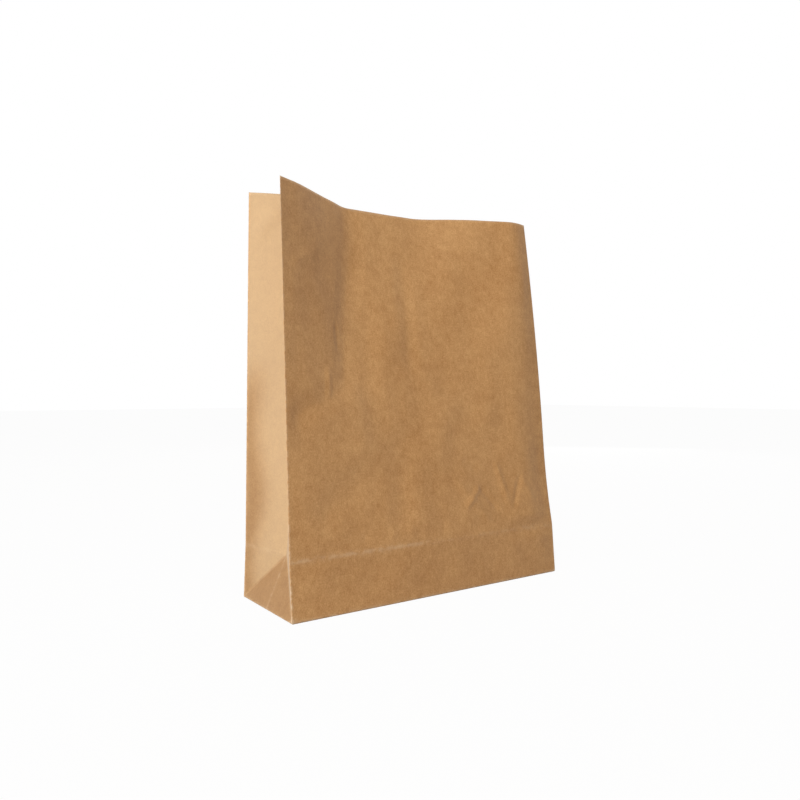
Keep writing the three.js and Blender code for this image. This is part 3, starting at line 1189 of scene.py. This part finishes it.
    def paste_base(self, shell: bmesh.types.BMesh) -> None:
        """Adds the long flaps, the floor and the end flaps, each on its own level."""
        sheet = self.sheet
        inset = self.base_inset
        wide, half = sheet.panel / 2 - inset, sheet.half - inset
        free, edge = sheet.panel / 2 - self.flap_reach, sheet.half - self.flap_reach
        outer, inner_flap, floor, ends_level = (sheet.layer * level for level in self.base_levels)
        shifts = self.base_shifts
        self.plate(shell, [(-wide, -half), (wide, -half), (free, -edge), (-free, -edge)], outer, shifts[0])
        self.plate(shell, [(-free, edge), (free, edge), (wide, half), (-wide, half)], inner_flap, shifts[1])
        inner, across = wide - inset, half - inset
        self.plate(shell, [(-inner, -across), (inner, -across), (inner, across), (-inner, across)],
                   floor, shifts[2])
        for side, shift in zip((-1, 1), shifts[3:]):
            ends = sorted((side * free, side * (inner - inset)))
            self.plate(shell, [(ends[0], inset - across), (ends[1], inset - across),
                               (ends[1], across - inset), (ends[0], across - inset)],
                       ends_level, shift)

    def build(self) -> bpy.types.Object:
        """Builds the bag, dresses it and ties it to its node.

        Returns:
            The finished piece.
        """
        shell = bmesh.new()
        shell.loops.layers.uv.new("sheet")
        for name in ("wear_and_highlight", "painted_light", "painted_shade"):
            shell.verts.layers.float.new(name)
        self.fold_wall(shell)
        self.paste_base(shell)
        mesh = bpy.data.meshes.new("folded_kraft_sheet")
        shell.to_mesh(mesh)
        shell.free()
        piece = new_object("folded_kraft_sheet", mesh)
        thickness = piece.modifiers.new("paper_thickness", "SOLIDIFY")
        thickness.thickness = self.sheet.layer
        thickness.offset = 0.0
        mesh.materials.append(self.finish.material())
        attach(piece, "root")
        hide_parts("paper_bag")
        return piece


@dataclass(frozen=True)
class Lamp:
    """A soft square lamp.

    Args:
        name: its name.
        place: where it hangs.
        power: its power, in watts.
        size: its side, in metres.
    """

    name: str
    place: tuple[float, float, float]
    power: float
    size: float

    def hang(self, aim: Vector) -> None:
        """Hangs the lamp, turned to a point."""
        data = bpy.data.lights.new(self.name, "AREA")
        data.energy = self.power
        data.size = self.size
        made = new_object(self.name, data)
        made.location = self.place
        made.rotation_euler = (aim - Vector(self.place)).to_track_quat("-Z", "Y").to_euler()


@dataclass
class Studio:
    """Pale floor, soft lamps, white surroundings and the camera.

    Args:
        lens: focal length on a 36 mm frame, in millimetres.
        eye: the camera's place.
        turn: its turn to the right of +Y, in degrees.
        tip: its tip up, in degrees.
        near: distance from which it sees.
        lamps: the lamps.
        aim: the point that they face.
        floor_reach: half the floor's side.
        floor_colour: linear colour of the floor.
        cover: share of plain white that the camera sees on it.
        surroundings: how much the white surroundings light the bag.
        warmth: linear colour of their light.
    """

    lens: float = 32.63
    eye: tuple[float, float, float] = (-0.34051, -0.47108, 0.15413)
    turn: float = 35.08
    tip: float = -0.67
    near: float = 0.01
    lamps: tuple[Lamp, ...] = (
        Lamp("key_left", (-0.85, -0.72, 0.56), 7.6, 0.45),
        Lamp("side_left", (-1.2, 0.0, 0.2), 6.8, 0.5),
        Lamp("top_soft", (-0.3, -0.5, 1.6), 9.0, 1.0),
        Lamp("back_soft", (1.0, 0.95, 0.5), 8.5, 1.0),
    )
    aim: tuple[float, float, float] = (0.0, 0.0, 0.14)
    floor_reach: float = 6.0
    floor_colour: tuple[float, float, float] = (0.62, 0.61, 0.60)
    cover: float = 0.97
    surroundings: float = 0.20
    warmth: tuple[float, float, float] = (1.0, 0.80, 0.62)

    def floor(self) -> bpy.types.Object:
        """Lays the pale floor under the base."""
        sheet = bmesh.new()
        bmesh.ops.create_grid(sheet, x_segments=4, y_segments=4, size=self.floor_reach)
        mesh = bpy.data.meshes.new("studio_floor")
        sheet.to_mesh(mesh)
        sheet.free()
        made = new_object("studio_floor", mesh)
        finish = bpy.data.materials.new("pale_floor")
        finish.use_nodes = True
        nodes = Nodes(finish.node_tree)
        matt = nodes.add("BsdfDiffuse", color=(*self.floor_colour, 1.0))
        white = nodes.add("Emission", strength=1.0)
        share = nodes.math("MULTIPLY", nodes.shown(), self.cover)
        mixed = nodes.add("MixShader", {0: share, 1: matt.outputs[0], 2: white.outputs[0]})
        nodes.add("OutputMaterial", {"Surface": mixed.outputs[0]})
        mesh.materials.append(finish)
        return made

    def room(self) -> None:
        """Sets the white world, which lights the bag less than it shows."""
        world = bpy.data.worlds.new("white_room")
        world.use_nodes = True
        nodes = Nodes(world.node_tree)
        shown = nodes.shown()
        level = nodes.spread(shown, 0.0, 1.0, self.surroundings, 1.0)
        tint = nodes.mix(shown, self.warmth, (1.0, 1.0, 1.0))
        back = nodes.add("Background", {"Color": tint, "Strength": level})
        nodes.add("OutputWorld", {"Surface": back.outputs[0]})
        bpy.context.scene.world = world

    def camera(self) -> None:
        """Places the camera at the photograph's view."""
        data = bpy.data.cameras.new("photo_camera")
        data.lens = self.lens
        data.sensor_width = 36.0
        data.clip_start = self.near
        made = new_object("photo_camera", data)
        made.location = self.eye
        made.rotation_euler = (math.radians(90.0 + self.tip), 0.0, -math.radians(self.turn))
        bpy.context.scene.camera = made

    def build(self) -> None:
        """Sets up the whole studio."""
        self.floor()
        for lamp in self.lamps:
            lamp.hang(Vector(self.aim))
        self.room()
        self.camera()
        bpy.context.scene.view_settings.view_transform = "Standard"


def main() -> None:
    """Builds the bag and its studio."""
    bag = PaperBag().build()
    LOG.info("%s: %d faces before thickness", bag.name, len(bag.data.polygons))
    Studio().build()
    LOG.info("studio ready")


if __name__ == "__main__":
    main()
